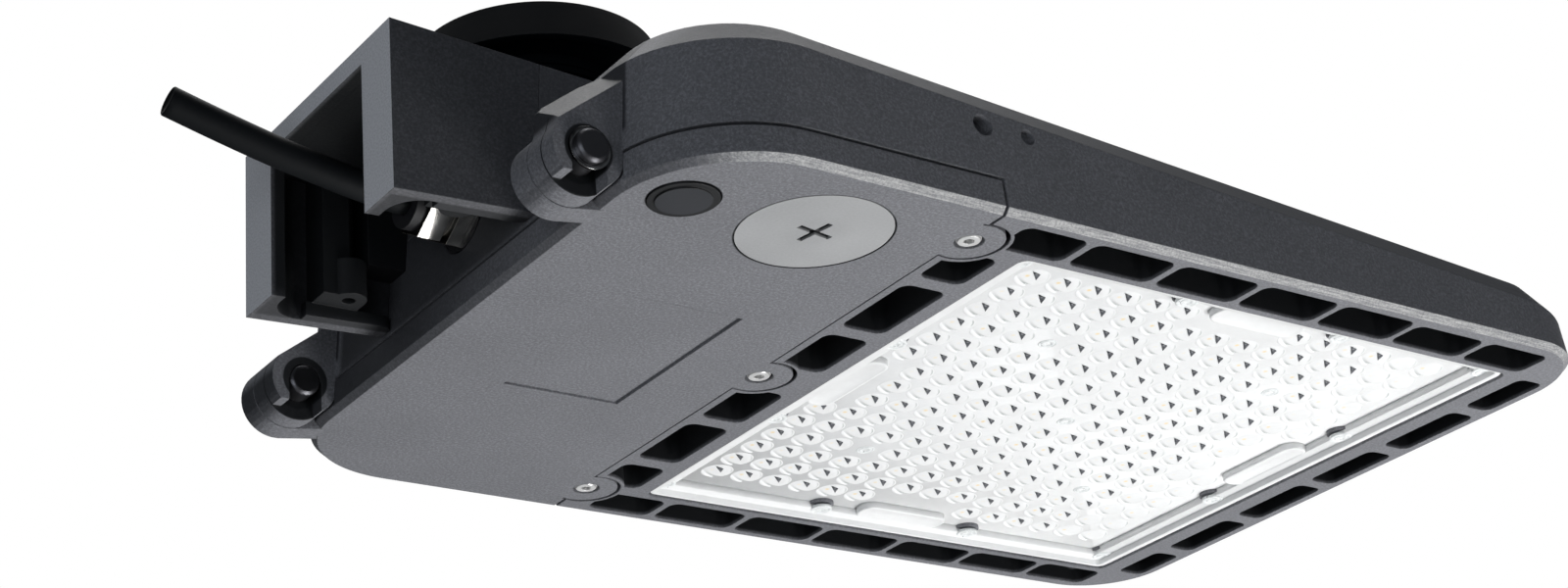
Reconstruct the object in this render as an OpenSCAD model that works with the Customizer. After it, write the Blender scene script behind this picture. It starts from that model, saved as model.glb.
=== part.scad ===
// Shoebox area light seen from below: die-cast housing with a hinged driver door,
// a square LED lens panel, a short pole arm with a cable gland and a twist-lock photocell.
// Origin: middle of the arm's top wall on the pole end face. +X to the LED end, +Z up.

/* [Overall] */
// Widest width of the housing, across the side walls
body_width = 252.8; // [200:0.2:320]
// X of the rear wall of the housing at the bottom edge
body_rear = 44.6; // [40:0.1:60]
// X of the front wall of the housing
body_front = 410.6; // [360:0.1:460]
// Radius of the rear corners in plan
rear_corner = 40.8; // [20:0.2:60]
// Radius of the front corners in plan
front_corner = 30; // [10:0.2:50]
// Height of the origin above the flat underside
origin_height = 61.8; // [50:0.1:80]

/* [LED end] */
// Side of the lens panel along X
lens_x = 208.8; // [150:0.2:260]
// Side of the lens panel along Y
lens_y = 207; // [150:0.2:260]
// X of the middle of the lens panel
lens_mid = 281.3; // [250:0.1:320]
// Distance between neighbouring optics
led_pitch = 12.3; // [8:0.1:16]
// Optics along each side
led_count = 15; // [7:2:21]
// Width of one optic across its flats
optic_d = 9.2; // [5:0.1:12]

/* [Door] */
// X of the straight front edge of the door
door_front = 150.8; // [120:0.1:180]
// Height of the seam between door and housing
seam_h = 10.4; // [8:0.1:20]
// Thickness of the door floor
door_floor = 3.2; // [2:0.1:6]
// Diameter of the round sensor cover
cover_d = 45.8; // [30:0.1:60]
// Diameter of the selector plug head
plug_d = 20.4; // [12:0.1:30]
// X of the hinge axis
hinge_x = 35.1; // [30:0.1:45]
// Height of the hinge axis above the underside
hinge_h = 9.45; // [5:0.05:15]
// Outer radius of the hinge lugs
lug_r = 11.25; // [8:0.05:15]
// Radius of the hinge pins
pin_r = 5.1; // [3:0.05:6]

/* [Arm] */
// Width of the arm
arm_width = 94.4; // [70:0.2:120]
// Height of the arm's top above the underside at the pole end
arm_top = 65; // [55:0.1:75]
// Height of the arm's lower edge above the underside at the pole end
arm_bottom = 10.9; // [5:0.1:20]
// Thickness of the arm's side walls
arm_wall = 4; // [3:0.1:8]
// Width of the pole end opening
arm_opening = 59.4; // [40:0.2:80]
// Distance of the cover plate screw holes from the middle
arm_hole_y = 34.3; // [28:0.1:40]

/* [Photocell and cord] */
// X of the photocell's axis
cell_x = 77; // [60:0.1:100]
// Radius of the photocell at its lower rim
cell_r = 43.2; // [38:0.1:48]
// Height of the photocell's lower rim above the underside
cell_h = 79.2; // [70:0.1:90]
// Diameter of the power cable
cable_d = 9.2; // [6:0.1:12]

/* [Hidden] */
$fn = 64;
W = body_width / 2;
draft = 0.075;
top_z = 51.9;          // height of the sloping top plane at X = 0
top_slope = 0.067;     // fall of the top plane per unit of X
top_ang = atan(top_slope);
top_w = 118;           // half width of the top plane
top_x0 = 55;
top_x1 = 401;
seam_top = 11.5;       // lower edge of the housing above the door
tab_r = 10.8;          // radius of the door's screw tabs
screw_x = 154;
screw_y = [-106.3, 1, 106.3];
cover_p = [109.4, -92];
plug_p = [63.9, -93.9];
near_slots = [[163.2, 187.4], [190.1, 221.7], [224.3, 256.1], [258.5, 290.2], [292.6, 324.2], [326.4, 357.5], [359.9, 388.4]];
rear_slots = [[-100, -81], [-75.2, -42], [-36.2, -9.4], [9.9, 36], [41.8, 74.6], [80.6, 100]];
front_slots = [[-103, -77.5], [-72, -39], [-33, -2.4], [2.6, 36], [42, 74], [80, 103]];
arm_slope = 0.0597;
cable_y0 = -3;
gland_h = 33.2;
gland_x = 48.3;        // face of the flat pad under the gland
cell_top = cell_h + 14.4;
cell_r2 = 38;
lug_near = [-92.3, -78.8];
lug_far = [79.2, 92.7];
dlug_near = [-78.3, -69.6];
dlug_far = [93.2, 101.9];
// Hand-chosen route of the cable, from the gland to its cut end
cable_pts = [[38, -3, 33.2], [33, -3, 33.2], [28, -3, 33.2], [20, -2.9, 33.9], [12, -2.6, 35.2], [4, -2.2, 36.9],
    [-5, -1.6, 39], [-15, -1, 41.5], [-25, -0.6, 44.2], [-35, -0.3, 47], [-46, 0, 50.2]];

cast_c = [0.24, 0.25, 0.28];
door_c = [0.42, 0.43, 0.45];
black_c = [0.06, 0.06, 0.07];
rubber_c = [0.1, 0.1, 0.1];
steel_c = [0.75, 0.76, 0.78];
clear_c = [0.92, 0.94, 0.96];
white_c = [0.95, 0.95, 0.93];

module up(h) { translate([0, 0, h - origin_height]) children(); }

// Rounded outline with its own radius at the rear and at the front
module plan2(x0, x1, w, rr, rf) {
    translate([x0 + rr, -w]) square([x1 - rf - x0 - rr, 2 * w]);
    translate([x0, -(w - rr)]) square([x1 - rf - x0, 2 * (w - rr)]);
    translate([x0 + rr, -(w - rf)]) square([x1 - x0 - rr, 2 * (w - rf)]);
    for (s = [-1, 1]) {
        translate([x0 + rr, s * (w - rr)]) circle(r = rr);
        translate([x1 - rf, s * (w - rf)]) circle(r = rf);
    }
}

// The same outline as a solid whose sides move out by g over the height h
module frust(x0, x1, w, rr, rf, h, g) {
    yr = w - rr;
    yf = w - rf;
    xr = x0 + rr;
    xf = x1 - rf;
    translate([xr, 0, 0]) rotate([90, 0, 90]) linear_extrude(xf - xr)
        polygon([[-w, 0], [w, 0], [w + g, h], [-w - g, h]]);
    translate([0, yr, 0]) rotate([90, 0, 0]) linear_extrude(2 * yr)
        polygon([[x0, 0], [xf, 0], [xf, h], [x0 - g, h]]);
    translate([0, yf, 0]) rotate([90, 0, 0]) linear_extrude(2 * yf)
        polygon([[xr, 0], [x1, 0], [x1 + g, h], [xr, h]]);
    for (s = [-1, 1]) {
        translate([xr, s * yr, 0]) cylinder(r1 = rr, r2 = rr + g, h = h);
        translate([xf, s * yf, 0]) cylinder(r1 = rf, r2 = rf + g, h = h);
    }
}

// Everything under the sloping, chamfered top, set in by t
module under_top(t) {
    translate([0, 0, top_z]) rotate([0, top_ang, 0]) translate([0, 0, -t]) {
        mirror([0, 0, 1]) frust(top_x0 + t / 2, top_x1 * 1.0022 - t / 2, top_w - t / 2, 33.5 - t / 2, 22 - t / 2, 14, 10.5);
        translate([20, -150, -110]) cube([420, 300, 96.5]);
    }
}

// Drafted side walls with the bottom chamfer
module walls(x0) {
    frust(x0 + 2, body_front - 2, W - 2.1, rear_corner - 2, front_corner - 2, 2.01, 2.01);
    translate([0, 0, 2]) frust(x0, body_front, W, rear_corner, front_corner, 56, -56 * draft);
}

module slab(x0, x1, y0, y1, z0, z1) { translate([x0, y0, z0]) cube([x1 - x0, y1 - y0, z1 - z0]); }
module postz(x, y, r, z0, z1) { translate([x, y, z0]) cylinder(r = r, h = z1 - z0); }
module posty(x, z, r, y0, y1) { translate([x, y1, z]) rotate([90, 0, 0]) cylinder(r = r, h = y1 - y0); }
module postx(y, z, r, x0, x1) { translate([x0, y, z]) rotate([0, 90, 0]) cylinder(r = r, h = x1 - x0); }

// Rounded slot outline
module slot2(x0, x1, y0, y1, r) {
    translate([x0 + r, y0]) square([x1 - x0 - 2 * r, y1 - y0]);
    translate([x0, y0 + r]) square([x1 - x0, y1 - y0 - 2 * r]);
    for (x = [x0 + r, x1 - r]) for (y = [y0 + r, y1 - r]) translate([x, y]) circle(r = r, $fn = 24);
}

module side_profile(y0, y1, pts) {
    translate([0, y1, 0]) rotate([90, 0, 0]) linear_extrude(y1 - y0) polygon(pts);
}

// One hinge tower of the housing, ridge chamfered towards its near face
module tower(y, tilt) {
    difference() {
        union() {
            side_profile(y[0], y[1], [[24.4, 10], [24.9, 13], [26.6, 19], [26.9, 24.3], [30.8, 28.9], [38.6, 34.8], [52, 42.6], [52, 11.7], [46.3, 11.7], [hinge_x, hinge_h]]);
            posty(hinge_x, hinge_h, lug_r, y[0], y[1]);
        }
        translate([24.9, y[0], tilt > 0 ? 16.2 : 15.3]) rotate([0, -37.6, 0]) rotate([tilt, 0, 0]) translate([-20, -10, 0]) cube([60, 40, 30]);
        posty(hinge_x, hinge_h, pin_r + 0.02, y[0] - 1, y[1] + 1);
        // hook end: a slot open below, its rear leg cut short
        side_profile(y[0] - 1, y[0] + 6.3, [[24, -4], [24, 1.9], [hinge_x - 5.5, 1.9], [hinge_x - 5.5, hinge_h], [hinge_x + 5.5, hinge_h], [hinge_x + 5.5, -4]]);
    }
}

module slots() {
    intersection() {
        translate([0, 0, -2]) linear_extrude(60) difference() {
            union() {
                for (s = near_slots) for (m = [0, 1]) mirror([0, m, 0]) slot2(s[0], s[1], s[0] > 320 ? -120.4 : -121.6, -106.6, 3.6);
                for (s = rear_slots) slot2(154.2, 170.4, s[0], s[1], 3.6);
            }
            for (y = screw_y) translate([screw_x, y]) circle(r = 13.2);
        }
        under_top(9.5);
    }
    translate([0, 0, -2]) linear_extrude(14.5) for (s = front_slots) slot2(393.8, 405.4, s[0], s[1], 3.2);
    for (s = near_slots) for (m = [0, 1]) mirror([0, m, 0]) slab(s[0] + 1.5, min(s[1] - 1.5, 387), -113.6, -107.8, 20, 60);
    for (s = near_slots) if (s[0] > 250) for (m = [0, 1]) mirror([0, m, 0]) slab(s[0] + 1.5, min(s[1] - 1.5, 387), -113.6, -107.8, 10, 30);
    for (s = rear_slots) slab(156, 168.6, s[0] + 1.5, s[1] - 1.5, 20, 60);
}

// Places of the captive screws of the door
module at_screws() { for (y = screw_y) translate([screw_x, y, 0]) children(); }

lens_scr = concat([for (s = [-1, 1]) for (i = [-1.5, -0.5, 0.5, 1.5]) [lens_mid + i * 67, s * 97.6]],
    [for (s = [-1, 1]) for (i = [-0.5, 0.5]) [lens_mid + s * 98.6, i * 66]]);
inner_scr = [for (a = [-4, 4]) for (b = [-4, 4]) [lens_mid + a * led_pitch, b * led_pitch]];
all_scr = concat(lens_scr, inner_scr, [[lens_mid, 0]]);

module housing() color(cast_c) up(0) {
    difference() {
        union() {
            difference() {
                intersection() { walls(body_rear); under_top(0); }
                slab(30, door_front + 0.5, -140, 140, -5, seam_top);
                for (s = [-1, 1]) slab(140, 153.1, s > 0 ? 117 : -140, s > 0 ? 140 : -117, -5, seam_top);
                // driver bay
                intersection() {
                    translate([0, 0, 5]) linear_extrude(60) plan2(53.6, 143.4, 117, 32, 5);
                    under_top(4.5);
                }
            }
            // raised block under the photocell
            intersection() {
                difference() {
                    side_profile(-arm_width / 2, arm_width / 2, [[40, 40], [40, arm_top - 40 * arm_slope], [67, 61], [122, 61], [122, 40]]);
                    side_profile(-42.4, 42.4, [[53.6, 20], [53.6, 56.5], [117, 56.5], [117, 20]]);
                }
                translate([0, 0, 2]) frust(body_rear, 150, W, rear_corner, 10, 70, -70 * draft);
            }
            intersection() {
                postz(cell_x, 0, 34.5, 58, 62.4);
                slab(49.4, 130, -40, 40, 50, 70);
            }
            tower(lug_near, 24);
            tower(lug_far, 0);
            // screw bosses of the door, in the bulkhead
            for (y = screw_y) intersection() {
                postz(screw_x, y, 8.2, 6.4, 30);
                slab(140, 170, y - 20, y + 20, 6.4, 30);
            }
            // bosses the driver hangs from
            for (x = [67, 117]) for (y = [-52, 76]) postz(x, y, 4.5, 33, x == 67 ? 45 : 41.8);
            // posts the selector switch and the surge protector hang from
            postz(63.9, -93.9, 5, 26.2, 45);
            postz(107, 99, 5, 31, 42);
        }
        // room inside the raised block
        slab(53.6, 117, -42.4, 42.4, 34, 56.5);
        // notches that take the door's tabs
        at_screws() translate([0.35, 0, -5]) cylinder(r = tab_r + 0.8, h = 11.4);
        for (y = screw_y) postz(screw_x + 0.35, y + (y > 50 ? 0.4 : -0.4), tab_r + 0.8, -5, 6.4);
        slab(143.4, door_front + 0.5, -117, 117, -5, seam_top);
        slots();
        // captive screw holes
        at_screws() { translate([0, 0, 6]) cylinder(r = 4.4, h = 8.6); translate([0, 0, 14]) cylinder(r = 2.5, h = 7); }
        // lens pocket
        translate([0, 0, -5]) linear_extrude(9.4) slot2(lens_mid - lens_x / 2 - 0.5, lens_mid + lens_x / 2 + 0.5, -lens_y / 2 - 0.5, lens_y / 2 + 0.5, 3.5);
        difference() {
            slab(lens_mid - 98.9, lens_mid + 98.9, -99.8, 99.8, -5, 10.2);
            for (p = lens_scr) postz(p[0], p[1], 4.6, 4.4, 12);
        }
        for (p = all_scr) postz(p[0], p[1], 1.3, 0, 13);
        // wire way from the driver bay to the LED board
        postx(-39.1, 18, 2.3, 120, 193);
        postz(191, -39.1, 2.3, 8, 20.6);
        // fins
        intersection() {
            union() {
                for (i = [-8:8]) slab(i == -3 ? 197 : 182, 390, i * 12.4 - 4.6, i * 12.4 + 4.6, 14.6, 60);
                slab(180, 388, -113.6, 113.6, 14.6, 60);
            }
            union() {
                for (i = [-8:8]) slab(i == -3 ? 197 : 182, 390, i * 12.4 - 4.6, i * 12.4 + 4.6, 14.6, 60);
                translate([0, 0, top_z]) rotate([0, top_ang, 0]) slab(150, 420, -130, 130, -1.5, 40);
            }
        }
        // relief round the door's hinge lugs
        for (y = [dlug_near, dlug_far]) posty(hinge_x, hinge_h, lug_r + 0.6, y[0] - 0.4, y[1] + 0.4);
        // spot face, cable hole, arm screws, blind holes in the sides
        postx(cable_y0, gland_h, 12.7, 40, gland_x);
        postx(cable_y0, gland_h, 5.4, 40, 60);
        for (y = [-38, 38]) for (z = [36, 50]) postx(y, z, 2.7, 40, 60);
        for (s = [-1, 1]) {
            posty(148.7, 28.2, 3.45, s > 0 ? 119.4 : -130, s > 0 ? 130 : -119.4);
            posty(165.4, 28.1, 2.5, s > 0 ? 122.3 : -130, s > 0 ? 130 : -122.3);
        }
        // receptacle hole and its screw holes
        postz(cell_x, 0, 16, 50, 70);
        for (a = [45, 135, 225, 315]) translate([cell_x, 0, 0]) rotate([0, 0, a]) postz(27, 0, 1.6, 57.5, 66);
        // driver screw holes and switch screw
        for (x = [67, 117]) for (y = [-52, 76]) postz(x, y, 1.7, 30, 41);
    }
}

module mounting_arm() color(cast_c) up(0) {
    x1b = body_rear + (12.7 - 2) * draft - 0.05;
    x1t = body_rear + (62 - 2) * draft - 0.05;
    difference() {
        union() {
            difference() {
                side_profile(-arm_width / 2, arm_width / 2, [[0, arm_bottom], [x1b, 12.7], [x1t, arm_top - x1t * arm_slope], [0, arm_top]]);
                // hollow behind the pole flange
                difference() {
                    side_profile(-arm_width / 2 + arm_wall, arm_width / 2 - arm_wall, [[4.5, 0], [60, 0], [60, 55.4], [4.5, 58.6]]);
                    for (s = [-1, 1]) difference() {
                        slab(4, 14.5, s > 0 ? 33.2 : -48, s > 0 ? 48 : -33.2, 0, 60);
                        postz(14.5, s * 33.2, 10, -1, 61);
                    }
                }
                slab(-1, 5, -arm_opening / 2, arm_opening / 2, 0, 58.6);
            }
            intersection() {
                for (s = [-1, 1]) mirror([0, s > 0 ? 0 : 1, 0]) {
                    slab(18, 27, 31.5, 46, 16.2, 60);
                    postz(27.5, arm_hole_y, 5.6, 16.2, 28.2);
                    slab(22, 33.1, arm_hole_y, 46, 16.2, 28.2);
                    slab(34, 60, 33, 46, 29.4, 60);
                    slab(16, 42, 39.6, 46, 11.6, 16.4);
                    postz(42, 43, 3.4, 11.6, 16.4);
                }
                side_profile(-arm_width / 2 + 1, arm_width / 2 - 1, [[10, arm_bottom + 0.4], [x1b, 12.7], [x1t, 61], [10, 62]]);
            }
        }
        for (s = [-1, 1]) {
            postz(27.5, s * arm_hole_y, 2.1, 10, 27);
            for (z = [36, 50]) postx(s * 38, z, 2.55, 35.5, 60);
        }
    }
}

module arm_screws() color(steel_c) up(0)
    for (y = [-38, 38]) for (z = [36, 50]) {
        postx(y, z, 2.5, 36, 54);
        difference() {
            postx(y, z, 4.1, 53.6, 57);
            translate([54.8, y, z]) rotate([0, 90, 0]) cylinder(r = 2.3, h = 5, $fn = 6);
        }
    }

module hinge_pins() color(black_c) up(0)
    for (r = [[lug_near[0] - 3.2, -69.2], [lug_far[0] - 0.5, 104.6]]) {
        posty(hinge_x, hinge_h, pin_r, r[0] + 0.8, r[1] - 0.8);
        translate([hinge_x, r[0] + 0.8, hinge_h]) rotate([90, 0, 0]) cylinder(r1 = pin_r, r2 = pin_r - 0.8, h = 0.8);
        translate([hinge_x, r[1] - 0.8, hinge_h]) rotate([-90, 0, 0]) cylinder(r1 = pin_r, r2 = pin_r - 0.8, h = 0.8);
    }

module hinge_clips() color(steel_c) up(0)
    for (y = [lug_near[0], 103.2]) difference() {
        posty(hinge_x, hinge_h, 6.5, y - 0.9, y - 0.1);
        posty(hinge_x, hinge_h, pin_r, y - 2, y + 1);
        translate([hinge_x, y, hinge_h]) rotate([0, -45, 0]) slab(0, 9, -2, 2, -2.8, 2.8);
    }

module driver_door() color(door_c) up(0) {
    difference() {
        union() {
            intersection() {
                walls(body_rear);
                union() {
                    slab(30, door_front, -140, 140, -5, seam_h);
                    for (s = [-1, 1]) slab(140, 152, s > 0 ? 117.6 : -140, s > 0 ? 140 : -117.6, -5, seam_h);
                }
            }
            at_screws() cylinder(r = tab_r, h = 6);
            for (y = [dlug_near, dlug_far]) {
                posty(hinge_x, hinge_h, lug_r, y[0], y[1]);
                side_profile(y[0], y[1], [[hinge_x, hinge_h - lug_r], [hinge_x + 1.5, hinge_h - lug_r + 0.05], [52, 0.5], [52, seam_h], [hinge_x, seam_h]]);
            }
        }
        // tray
        translate([0, 0, door_floor]) linear_extrude(20) plan2(52.4, 143.2, 118.5, 33, 5);
        // gasket groove in the rim
        difference() {
            translate([0, 0, 8.4]) linear_extrude(5) plan2(48.8, 147.4, 122.2, 36.7, 8);
            translate([0, 0, 8]) linear_extrude(7) plan2(51.2, 145, 119.8, 34.3, 6);
        }
        // relief round the housing's hinge lugs
        for (y = [lug_near, lug_far]) posty(hinge_x, hinge_h, lug_r + 0.6, y[0] - 0.4, y[1] + 0.4);
        for (y = [dlug_near, dlug_far]) posty(hinge_x, hinge_h, pin_r + 0.05, y[0] - 1, y[1] + 1);
        // captive screws
        at_screws() { translate([0, 0, -1]) cylinder(r = 2.5, h = 9); translate([0, 0, -1]) cylinder(r = 4.6, h = 4.4); }
        // cover and plug seats are cut through the floor
        postz(cover_p[0], cover_p[1], cover_d / 2 + 0.35, -1, 4);
        postz(plug_p[0], plug_p[1], plug_d / 2 + 0.35, -1, 1.6);
        postz(plug_p[0], plug_p[1], 7.4, -1, 12);
        // shallow recess of the empty label place
        slab(82.4, 124, -34, 38, -1, 0.9);
    }
    // threaded ring of the sensor port
    difference() {
        postz(cover_p[0], cover_p[1], cover_d / 2 + 2.6, door_floor - 0.5, 10.5);
        postz(cover_p[0], cover_p[1], cover_d / 2 + 0.35, -1, 4.55);
        postz(cover_p[0], cover_p[1], 18.9, -1, 12);
    }
    // stiffening ribs
    for (x = [70, 98, 126]) slab(x, x + 2, x == 70 ? -78 : -62, 118, door_floor - 0.2, 6.5);
}

module door_gasket() color(rubber_c) up(0)
    difference() {
        translate([0, 0, 8.4]) linear_extrude(2.5) plan2(48.8, 147.4, 122.2, 36.7, 8);
        translate([0, 0, 8]) linear_extrude(5) plan2(51.2, 145, 119.8, 34.3, 6);
    }

module captive_screw(y) color(steel_c) up(0) translate([screw_x, y, 0]) {
    difference() {
        union() {
            translate([0, 0, 0.7]) cylinder(r = 3.85, h = 2.3);
            translate([0, 0, 0.1]) cylinder(r1 = 3.3, r2 = 3.85, h = 0.6);
            translate([0, 0, 2.8]) cylinder(r = 2, h = 15.2);
            // retaining ring
            translate([0, 0, 12.6]) cylinder(r = 2.9, h = 0.9);
        }
        translate([0, 0, -1]) cylinder(r = 1.75, h = 3.2, $fn = 6);
    }
}
module door_screw_near() captive_screw(screw_y[0]);
module door_screw_mid() captive_screw(screw_y[1]);
module door_screw_far() captive_screw(screw_y[2]);

module sensor_cover() color(door_c) up(0) translate([cover_p[0], cover_p[1], 0]) {
    difference() {
        union() {
            translate([0, 0, 0.1]) cylinder(r = cover_d / 2, h = 2.7);
            translate([0, 0, 2]) cylinder(r = 18.4, h = 9.6);
        }
        translate([0, 0, 3.6]) cylinder(r = 15.5, h = 12);
        for (a = [11, 101]) rotate([0, 0, a]) translate([-6.3, -1, -1]) cube([12.6, 2, 2.7]);
    }
}

module cover_oring() color(rubber_c) up(0) translate([cover_p[0], cover_p[1], 3.5])
    rotate_extrude($fn = 48) translate([20.7, 0]) circle(r = 0.7, $fn = 12);

module selector_plug() color(rubber_c) up(0) translate([plug_p[0], plug_p[1], 0]) {
    translate([0, 0, -0.5]) cylinder(r = plug_d / 2, h = 1.7);
    translate([0, 0, -1]) cylinder(r = 8.2, h = 1);
    translate([0, 0, 1]) cylinder(r = 7, h = 8);
}

module selector_switch() color(white_c) up(0)
    difference() {
        slab(57.6, 75.9, -98.6, -86.9, 14.4, 26.2);
        // channel the slider runs in
        slab(59.9, 70.3, -96.3, -91.5, 14, 20.4);
    }

module selector_slider() color(black_c) up(0) {
    slab(60.4, 64.4, -95.9, -91.9, 11.6, 20);
}

module lens_panel() color(clear_c) up(0) {
    x0 = lens_mid - lens_x / 2;
    x1 = lens_mid + lens_x / 2;
    difference() {
        union() {
            // flange with its outer lip, and the tray
            difference() {
                translate([0, 0, 0.7]) linear_extrude(3.2) slot2(x0, x1, -lens_y / 2, lens_y / 2, 3);
                slab(lens_mid - 101.9, lens_mid + 101.9, -102.3, 102.3, -1, 2.9);
                slab(lens_mid - 97, lens_mid + 97, -97.9, 97.9, -1, 5.5);
            }
            difference() {
                slab(lens_mid - 98.4, lens_mid + 98.4, -99.3, 99.3, 2.9, 7);
                slab(lens_mid - 97, lens_mid + 97, -97.9, 97.9, -1, 5.5);
                for (p = lens_scr) postz(p[0], p[1], 5, 3.9, 8);
            }
            // bosses under the outer screws
            intersection() {
                for (p = lens_scr) postz(p[0], p[1], 4, 2.6, 3.9);
                slab(x0 + 0.1, x1 - 0.1, -lens_y / 2 + 0.1, lens_y / 2 - 0.1, 0, 8);
            }
            // roofs that close the tray over those bosses
            intersection() {
                for (p = lens_scr) postz(p[0], p[1], 6, 2.9, 3.9);
                slab(lens_mid - 98, lens_mid + 98, -98.9, 98.9, 0, 8);
            }
            intersection() {
                for (p = lens_scr) difference() { postz(p[0], p[1], 6, 3.5, 7); postz(p[0], p[1], 5, 3, 8); }
                slab(lens_mid - 98, lens_mid + 98, -98.9, 98.9, 0, 8);
            }
            for (i = [-7:7]) for (j = [-7:7])
                if (!(abs(i) == 4 && abs(j) == 4) && !(i == 0 && j == 0) && !(abs(i) == 7 && abs(j) < 2) && !(abs(j) == 7 && abs(i) < 2))
                    translate([lens_mid + i * led_pitch, j * led_pitch, 3]) rotate([0, 0, 22.5]) cylinder(r = optic_d / 2, h = 2.7, $fn = 8);
            // posts under the inner screws
            for (p = concat(inner_scr, [[lens_mid, 0]])) translate([p[0], p[1], 5.2]) cylinder(r = 3.2, h = 0.8, $fn = 24);
        }
        for (p = all_scr) translate([p[0], p[1], 0]) cylinder(r = 1.7, h = 8, $fn = 24);
        // room for the outer screw heads
        for (p = lens_scr) postz(p[0], p[1], 2.6, -1, 2.6);
    }
}

module lens_gasket() color(white_c) up(0)
    difference() {
        translate([0, 0, 3.9]) linear_extrude(0.5) slot2(lens_mid - lens_x / 2, lens_mid + lens_x / 2, -lens_y / 2, lens_y / 2, 3);
        slab(lens_mid - 99.2, lens_mid + 99.2, -100.1, 100.1, 0, 6);
        for (p = lens_scr) postz(p[0], p[1], 1.7, 0, 8);
    }

module lens_screws() color(steel_c) up(0) {
    for (p = lens_scr) { postz(p[0], p[1], 2.4, 1.4, 2.6); postz(p[0], p[1], 1.2, 2, 12.5); }
    for (p = concat(inner_scr, [[lens_mid, 0]])) { postz(p[0], p[1], 2.4, 4.2, 5.2); postz(p[0], p[1], 1.2, 5, 12.5); }
}

module led_board() color(white_c) up(0)
    difference() {
        slab(lens_mid - 93, lens_mid + 93, -92, 92, 8.6, 10.2);
        for (p = concat(inner_scr, [[lens_mid, 0]])) postz(p[0], p[1], 1.7, 0, 12);
        postz(190, 0, 3.6, 0, 12);
    }

module led_chips() color([0.95, 0.85, 0.4]) up(0)
    for (i = [-7:7]) for (j = [-7:7])
        if (!(abs(i) == 4 && abs(j) == 4) && !(i == 0 && j == 0) && !(abs(i) == 7 && abs(j) < 2) && !(abs(j) == 7 && abs(i) < 2))
            translate([lens_mid + i * led_pitch - 1.5, j * led_pitch - 1.5, 7.9]) cube([3, 3, 0.7]);

module driver() color([0.8, 0.8, 0.78]) up(0)
    difference() {
        union() {
            slab(62, 122, -46, 70, 13.5, 32.8);
            slab(62, 122, -58, 82, 31.2, 33);
        }
        for (x = [67, 117]) for (y = [-52, 76]) postz(x, y, 1.9, 20, 40);
    }

module driver_screws() color(steel_c) up(0)
    for (x = [67, 117]) for (y = [-52, 76]) { postz(x, y, 3.2, 28.6, 31.2); postz(x, y, 1.6, 31, 39); }

module surge_protector() color(black_c) up(0) slab(86, 128, 88, 110, 15, 31);

module terminal_block() color(white_c) up(0) slab(128, 143.4, -44, 16, 14.5, 27);

module inner_wires() color([0.15, 0.15, 0.16]) up(0) {
    // plain runs between the driver, the terminals, the switch and the board
    postx(-39.1, 18, 1.6, 143.4, 191);
    postz(191, -39.1, 2, 10.2, 20.3);
    postx(-30, 24, 1.6, 122, 128);
    postx(10, 24, 1.6, 122, 128);
    posty(70, 23, 1.6, -86.9, -46);
    posty(100, 23, 1.6, 70, 88);
}

module gland_hex(x0, x1, af, c) {
    translate([x0, cable_y0, gland_h]) rotate([0, 90, 0]) difference() {
        cylinder(r = af / 2 / cos(30), h = x1 - x0, $fn = 6);
        translate([0, 0, -1]) cylinder(r = c, h = x1 - x0 + 2);
    }
}
module cable_gland() color(steel_c) up(0) {
    // body: hex flange against the seal washer, and a threaded neck through the wall
    difference() {
        union() {
            gland_hex(40.6, 46.2, 20.4, 5);
            postx(cable_y0, gland_h, 5.3, 46, 58);
            postx(cable_y0, gland_h, 8.4, 38.6, 42);
        }
        postx(cable_y0, gland_h, cable_d / 2, 30, 60);
    }
}
module gland_nut() color(steel_c) up(0) gland_hex(31.2, 38.6, 19.4, cable_d / 2 + 1.4);
module gland_seal() color(rubber_c) up(0)
    difference() {
        union() {
            postx(cable_y0, gland_h, cable_d / 2 + 1.4, 29.6, 38.6);
            postx(cable_y0, gland_h, 8.6, 27.6, 31.2);
        }
        postx(cable_y0, gland_h, cable_d / 2, 26, 40);
    }
module gland_washer() color(rubber_c) up(0)
    difference() {
        postx(cable_y0, gland_h, 12.1, 46.2, gland_x);
        postx(cable_y0, gland_h, 5.4, 40, 60);
    }

// Cable: one tube swept along the route
function vsub(a, b) = [a[0] - b[0], a[1] - b[1], a[2] - b[2]];
function cat(p, t) = let (i = min(floor(t), len(p) - 2), u = t - i,
    a = p[max(i - 1, 0)], b = p[i], c = p[i + 1], d = p[min(i + 2, len(p) - 1)])
    [for (k = [0:2]) 0.5 * (2 * b[k] + (c[k] - a[k]) * u + (2 * a[k] - 5 * b[k] + 4 * c[k] - d[k]) * u * u + (3 * b[k] - a[k] - 3 * c[k] + d[k]) * u * u * u)];
module tube(p, r, sides) {
    n = len(p) - 1;
    ring = [for (k = [0:n]) let (q = p[k], e = vsub(p[min(k + 1, n)], p[max(k - 1, 0)]), t = e / norm(e),
            s = cross(t, [0, 1, 0]) / norm(cross(t, [0, 1, 0])), u = cross(t, s))
            for (j = [0:sides - 1]) q + r * cos(360 * j / sides) * s + r * sin(360 * j / sides) * u];
    polyhedron(points = ring, faces = concat(
        [[for (j = [0:sides - 1]) j]],
        [[for (j = [sides - 1:-1:0]) n * sides + j]],
        [for (k = [0:n - 1]) for (j = [0:sides - 1]) [k * sides + (j + 1) % sides, k * sides + j, (k + 1) * sides + j]],
        [for (k = [0:n - 1]) for (j = [0:sides - 1]) [k * sides + (j + 1) % sides, (k + 1) * sides + j, (k + 1) * sides + (j + 1) % sides]]));
}
module power_cable() color(black_c) up(0) tube(cable_pts, cable_d / 2, 12);

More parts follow.
